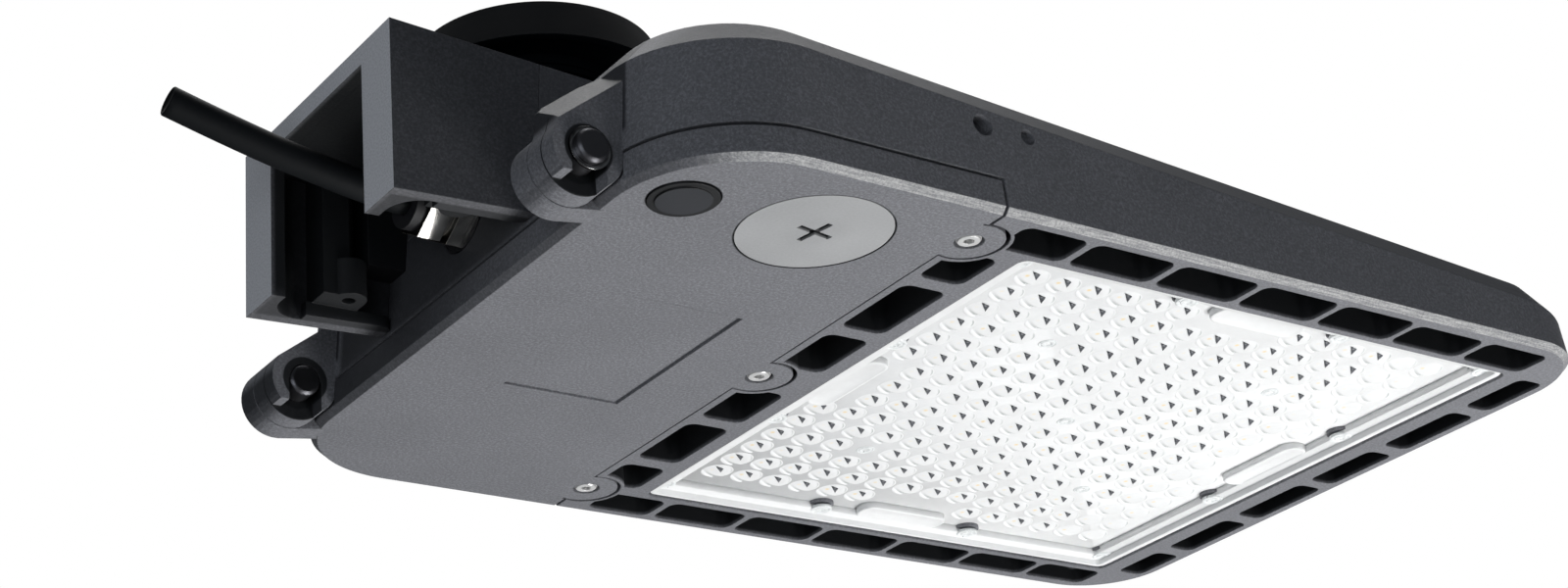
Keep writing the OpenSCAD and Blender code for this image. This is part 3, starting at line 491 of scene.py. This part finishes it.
class Shell:
    """Collects closed shells into one mesh, with a material number for each face."""

    def __init__(self):
        self.v, self.f, self.k = [], [], []

    def add(self, verts, faces, k=0):
        n = len(self.v)
        self.v += [P(*p) for p in verts]
        self.f += [tuple(i + n for i in f) for f in faces]
        self.k += [k] * len(faces)

    def stack(self, loops, k=0):
        """Loops of points of equal length, joined one after the other and capped at both ends."""
        n = len(loops[0])
        v = [p for loop in loops for p in loop]
        f = [tuple(reversed(range(n))), tuple(range(len(v) - n, len(v)))]
        for a in range(len(loops) - 1):
            for i in range(n):
                j = (i + 1) % n
                f.append((a * n + i, a * n + j, (a + 1) * n + j, (a + 1) * n + i))
        self.add(v, f, k)

    def build(self, name, mats, smooth_faces=True):
        o = new_object(name, self.v, self.f, smooth_faces)
        bm = bmesh.new()
        bm.from_mesh(o.data)
        bmesh.ops.recalc_face_normals(bm, faces=bm.faces)
        bm.to_mesh(o.data)
        bm.free()
        for m in mats:
            o.data.materials.append(m.m)
        for p, k in zip(o.data.polygons, self.k):
            p.material_index = k
        return o


def rounded(cx, cy, hx, hy, r, h, n=6):
    """Points of a rounded rectangle."""
    out = []
    for sx, sy, a0 in ((1, 1, 0), (-1, 1, 90), (-1, -1, 180), (1, -1, 270)):
        for i in range(n + 1):
            a = math.radians(a0 + 90 * i / n)
            out.append((cx + sx * (hx - r) + r * math.cos(a), cy + sy * (hy - r) + r * math.sin(a), h))
    return out


def ring_profile(shell, prof, k=0):
    """A frame round the panel: prof lists (half X, half Y, corner radius, h) round a closed cross-section."""
    loops = [rounded(MID, 0, hx, hy, r, h) for hx, hy, r, h in prof]
    n = len(loops[0])
    v = [p for loop in loops for p in loop]
    f = []
    m = len(loops)
    for a in range(m):
        b = (a + 1) % m
        for i in range(n):
            j = (i + 1) % n
            f.append((a * n + i, a * n + j, b * n + j, b * n + i))
    shell.add(v, f, k)


def arc(u):
    """The valley between the two lobes of an optic."""
    w = u + 0.65
    return 3.6 + 0.461 * w - 0.0433 * w * w


def relief(u, v, seed):
    """How far an optic stands out from the sheet at (u, v), in millimetres."""
    r = math.hypot(u, v)
    d = 0.2 * smooth((5.75 - r) / 2.4)
    gap = v - arc(u)
    d -= 0.2 * math.exp(-(gap / 0.5) ** 2) * smooth((u + 4.8) / 1.5) * smooth((4.2 - u) / 1.4)
    d += 0.16 * math.exp(-((gap - 1.1) / 0.6) ** 2) * smooth((u + 5) / 2) * smooth((2.5 - u) / 2)
    d += 0.12 * math.exp(-((u - 3.2) ** 2 + (v + 2.0) ** 2) / 1.1)
    return max(-0.2, d)


sheet = Shell()
# sheet under the optics, its walls, the ledge and the outer lip
sheet.stack([rounded(MID, 0, 97.2, 98.1, 1.6, h) for h in (5.5, 6.9)])
T = 0.18
ring_profile(sheet, [(97.0, 97.9, 1.5, 6.9), (97.0, 97.9, 1.5, 3.1), (97.0 + T, 97.9 + T, 1.6, 2.9), (101.7, 102.1, 2.0, 2.9),
                     (101.9, 102.3, 2.0, 2.7), (101.9, 102.3, 2.0, 0.9), (101.9 + T, 102.3 + T * 0.8, 2.1, 0.7), (104.2, 103.3, 3.0, 0.7),
                     (104.4, 103.5, 3.0, 0.9), (104.4, 103.5, 3.0, 3.9), (98.4, 99.3, 2.0, 3.9), (98.4, 99.3, 2.0, 6.9)])
RINGS = [0, 0.9, 1.7, 2.5, 3.2, 3.8, 4.3, 4.7, 5.1, 5.5, 5.75]
SEG = 32
for i in range(-7, 8):
    for j in range(-7, 8):
        if (abs(i) == 4 and abs(j) == 4) or (i == 0 and j == 0) or (abs(i) == 7 and abs(j) < 2) or (abs(j) == 7 and abs(i) < 2):
            continue
        cx, cy = MID + i * PITCH, j * PITCH
        verts, faces = [(cx, cy, 5.5 - relief(0, 0, 0))], []
        for a, r in enumerate(RINGS[1:]):
            for q in range(SEG):
                t = 2 * math.pi * q / SEG
                u, v = r * math.cos(t), r * math.sin(t)
                verts.append((cx + u, cy + v, 5.5 - relief(u, v, 0)))
        for q in range(SEG):
            faces.append((0, 1 + q, 1 + (q + 1) % SEG))
        for a in range(len(RINGS) - 2):
            for q in range(SEG):
                w = (q + 1) % SEG
                faces.append((1 + a * SEG + q, 1 + (a + 1) * SEG + q, 1 + (a + 1) * SEG + w, 1 + a * SEG + w))
        base = 1 + (len(RINGS) - 2) * SEG
        top = len(verts)
        for q in range(SEG):
            t = 2 * math.pi * q / SEG
            verts.append((cx + 5.75 * math.cos(t), cy + 5.75 * math.sin(t), 6.2))
        for q in range(SEG):
            w = (q + 1) % SEG
            faces.append((base + q, top + q, top + w, base + w))
        faces.append(tuple(range(top, top + SEG)))
        sheet.add(verts, faces, 1)
        if i < 6:
            # painted reflection: dark wedge standing for the dark surroundings reflected in the prism
            g = 0.88 + 0.24 * rnd.random()
            tri = [(-2.95, -4.0), (0.3, -3.4), (-1.3 + 2.95 * g, -3.7 + 4.0 * g)]
            hh = [4.98, 4.96, 5.0]
            low = [(cx + p[0], cy + p[1], z) for p, z in zip(tri, hh)]
            high = [(cx + p[0], cy + p[1], 5.2) for p in tri]
            mid = (cx - 0.6, cy - 2.6, 4.9)
            sheet.add(low + high + [mid], [(0, 1, 6), (1, 2, 6), (2, 0, 6), (0, 3, 4, 1), (1, 4, 5, 2), (2, 5, 3, 0), (3, 5, 4)], 2)
# platforms at the middle of each side, level with the ledge
for sx, sy in ((1, 0), (-1, 0), (0, 1), (0, -1)):
    def platform(t, h):
        cx, cy = MID + sx * 93.2, sy * 94.1
        hx, hy = (5.2, 18.6) if sx else (18.6, 5.2)
        loop = rounded(MID, 0, hx - t, hy - t, 4.6 - t, h)
        return [(x - MID + (cx if sx else MID), y + (cy if sy else 0), z) for x, y, z in loop]
    sheet.stack([platform(0, 5.7), platform(0, 3.4), platform(0.12, 3.12), platform(0.4, 2.95), platform(0.9, 2.92), platform(1.3, 3.05), platform(1.6, 3.2)])
# round bosses at the screws
for x, y in OUTER + INNER:
    h0, h1, r = (2.55, 3.6, 3.9) if (x, y) in OUTER else (5.28, 6.0, 3.2)
    edge = lambda rr, h: [(max(MID - 104.2, min(MID + 104.2, x + rr * math.cos(2 * math.pi * q / 24))), max(-103.3, min(103.3, y + rr * math.sin(2 * math.pi * q / 24))), h) for q in range(24)]
    sheet.stack([edge(r, h1), edge(r, h0 + 0.15), edge(r - 0.2, h0), edge(2.7, h0 + 0.02), edge(2.6, h0 + 0.2), edge(0.5, h0 + 0.25)], 3)


def clear_plastic(name, base, local=False, streak=False):
    """Milky look of thick clear plastic over a white board."""
    m = Mat(name)
    wide = m.noise(70, 3, 0.5)
    fine = m.noise(420, 2, 0.5)
    t = m.math("ADD", m.math("MULTIPLY", wide, 0.6), m.math("MULTIPLY", fine, 0.4))
    col = m.ramp(t, [(0.36, shade(base, 0.955)), (0.62, base)])
    if local:
        sp = m.t.nodes.new("ShaderNodeSeparateXYZ")
        m.link(m.coord, sp.inputs[0])
        u = m.math("MULTIPLY", m.math("SUBTRACT", m.math("FRACT", m.math("ADD", m.math("MULTIPLY", sp.outputs["X"], 1000 / PITCH), 0.5 - MID / PITCH + 40)), 0.5), PITCH)
        v = m.math("MULTIPLY", m.math("SUBTRACT", m.math("FRACT", m.math("ADD", m.math("MULTIPLY", sp.outputs["Y"], 1000 / PITCH), 40.5)), 0.5), PITCH)
        # painted shade: grey crescent in the valley between the two lobes; painted highlight on the light lobe outside
        # it
        w = m.math("ADD", u, 0.65)
        line_v = m.math("SUBTRACT", m.math("ADD", m.math("MULTIPLY", w, 0.461), 3.6), m.math("MULTIPLY", m.math("MULTIPLY", w, w), 0.0433))
        gap = m.math("SUBTRACT", v, line_v)
        inner = m.mapr(gap, -1.5, 0.1, 0, 1, True)
        outer = m.mapr(gap, 0.1, 0.45, 1, 0, True)
        near = m.math("MULTIPLY", inner, outer)
        near = m.math("MULTIPLY", near, m.math("MULTIPLY", m.mapr(u, -4.6, 0.8, 0.1, 1.0), m.mapr(u, 2.0, 3.9, 1, 0, True)))
        lobe = m.math("MULTIPLY", m.mapr(gap, 0.3, 0.7, 0, 1, True), m.mapr(gap, 1.5, 2.3, 1, 0, True))
        col = m.mix(m.math("MULTIPLY", lobe, m.mapr(u, 1.0, 3.5, 0.8, 0)), col, (0.99, 0.995, 1.0))
        # painted shade: thin line at the other end
        r = m.math("SQRT", m.math("ADD", m.math("MULTIPLY", u, u), m.math("MULTIPLY", v, v)))
        rim = m.mapr(m.math("ABSOLUTE", m.math("SUBTRACT", r, 5.05)), 0.1, 0.45, 1, 0, True)
        side = m.mapr(m.math("SUBTRACT", u, m.math("MULTIPLY", v, 0.6)), 5.0, 5.9, 0, 1, True)
        near = m.math("MAXIMUM", near, m.math("MULTIPLY", m.math("MULTIPLY", rim, side), m.mapr(wide, 0.4, 0.6, 0.25, 0.8)))
        wob = m.mapr(fine, 0.35, 0.65, 0.75, 1.1)
        col = m.mix(m.math("MULTIPLY", near, m.math("MULTIPLY", wob, 0.85)), col, (0.30, 0.33, 0.32))
        # amber spot of the chip seen through the lens
        du, dv = m.math("ADD", u, 2.6), m.math("ADD", v, 0.85)
        rr = m.math("SQRT", m.math("ADD", m.math("MULTIPLY", du, du), m.math("MULTIPLY", dv, dv)))
        spot = m.math("MULTIPLY", m.mapr(rr, 0.2, 1.1, 1, 0, True), m.mapr(m.noise(45, 1, 0.5), 0.45, 0.62, 0.1, 0.85))
        col = m.mix(spot, col, (0.88, 0.68, 0.32))
    if streak:
        s = m.mapr(m.noise(260, 3, 0.7, (2.2, 2.2, 0.5)), 0.44, 0.62, 0, 1)
        col = m.mix(m.math("MULTIPLY", s, 0.3), col, (0.4, 0.43, 0.42))
        sp2 = m.mapr(m.noise(700, 2, 0.6), 0.68, 0.73, 0, 0.8)
        col = m.mix(sp2, col, (0.15, 0.15, 0.15))
    m.link(col, m.b.inputs["Base Color"])
    m.link(m.mapr(wide, 0.3, 0.7, 0.36, 0.46), m.b.inputs["Roughness"])
    m.put(Specular_IOR_Level=0.15)
    m.bump(wide, 0.12, 0.0002)
    return m


sheet_m = clear_plastic("clear_sheet_field", (0.84, 0.846, 0.844))
optic_m = clear_plastic("clear_sheet_optics", (0.84, 0.846, 0.844), local=True)
# painted reflection: dark stuff of the prism wedges
wedge_m = plastic("prism_painted_reflection", (0.09, 0.095, 0.105), 0.3, 0.1, 1500, 0.35)
boss_m = clear_plastic("clear_sheet_bosses", (0.86, 0.88, 0.88), streak=True)
panel = sheet.build("lens_sheet", [sheet_m, optic_m, wedge_m, boss_m])
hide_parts("lens_panel")
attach(panel, "fixture")
heads = Shell()
for x, y in OUTER + INNER:
    h0 = 2.55 if (x, y) in OUTER else 5.28
    turned = rnd.random() * 60

    def loop(r, h, wave=0.0):
        return [(x + (r + wave * math.cos(math.radians(90 * q))) * math.cos(math.radians(15 * q + turned)), y + (r + wave * math.cos(math.radians(90 * q))) * math.sin(math.radians(15 * q + turned)), h) for q in range(24)]
    heads.stack([loop(1.2, 12.5), loop(1.2, h0 + 0.5), loop(2.35, h0 + 0.5), loop(2.4, h0 + 0.16), loop(2.25, h0 + 0.02), loop(1.9, h0 - 0.05), loop(1.25, h0 - 0.05, 0.22), loop(1.1, h0 + 0.4, 0.2), loop(0.4, h0 + 0.42)], 0)
screw_m = clear_plastic("clear_sheet_screws", (0.84, 0.86, 0.86), streak=True)
screws = heads.build("lens_screws_seen", [screw_m])
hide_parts("lens_screws")
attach(screws, "fixture")


# ---------------------------------------------------------------- floor, light, world
floor = new_object("floor", [(-9, -9, -1.25), (9, -9, -1.25), (9, 9, -1.25), (-9, 9, -1.25)], [(0, 1, 2, 3)])
fm = Mat("pale_floor")
fm.link(fm.ramp(fm.noise(3, 3), [(0.3, (0.6, 0.6, 0.6)), (0.7, (0.64, 0.64, 0.64))]), fm.b.inputs["Base Color"])
fm.put(Roughness=0.9)
pale = fm.node("ShaderNodeEmission", Color=(1, 1, 1, 1), Strength=1.0)
seen = fm.t.nodes.new("ShaderNodeLightPath")
both = fm.t.nodes.new("ShaderNodeMixShader")
fm.link(seen.outputs["Is Camera Ray"], both.inputs[0])
fm.link(fm.b.outputs[0], both.inputs[1])
fm.link(pale.outputs[0], both.inputs[2])
fm.link(both.outputs[0], fm.out.inputs[0])
floor.data.materials.append(fm.m)

world = bpy.data.worlds.new("studio")
scene.world = world
world.use_nodes = True
wt = world.node_tree
wt.nodes.clear()
wo = wt.nodes.new("ShaderNodeOutputWorld")
bg_seen = wt.nodes.new("ShaderNodeBackground")
bg_seen.inputs[0].default_value = (1, 1, 1, 1)
bg_seen.inputs[1].default_value = 1.0
bg_lit = wt.nodes.new("ShaderNodeBackground")
bg_lit.inputs[0].default_value = (0.86, 0.92, 1, 1)
bg_lit.inputs[1].default_value = 0.09
lp = wt.nodes.new("ShaderNodeLightPath")
ms = wt.nodes.new("ShaderNodeMixShader")
wt.links.new(lp.outputs["Is Camera Ray"], ms.inputs[0])
wt.links.new(bg_lit.outputs[0], ms.inputs[1])
wt.links.new(bg_seen.outputs[0], ms.inputs[2])
wt.links.new(ms.outputs[0], wo.inputs[0])


def area(name, loc, target, size, power, colour=(1, 1, 1)):
    d = bpy.data.lights.new(name, "AREA")
    d.shape = "RECTANGLE"
    d.size, d.size_y = size
    d.energy = power
    d.color = colour
    o = bpy.data.objects.new(name, d)
    scene.collection.objects.link(o)
    o.location = loc
    o.rotation_mode = "QUATERNION"
    o.rotation_quaternion = (Vector(target) - Vector(loc)).to_track_quat("-Z", "Y")
    o.visible_camera = False
    return o


area("key_below", (0.62, -0.12, -1.2), (0.22, 0, 0), (1.3, 1.0), 29.2)
area("side_left", (-0.98, -0.78, -0.3), (0.1, 0, 0), (0.9, 0.7), 3.7, (0.88, 0.93, 1.0))
area("top_soft", (0.45, 0.45, 1.5), (0.2, 0, 0), (1.4, 1.2), 15)
area("fill_front", (1.6, 0.9, 0.35), (0.2, 0, 0), (1.0, 0.8), 11)
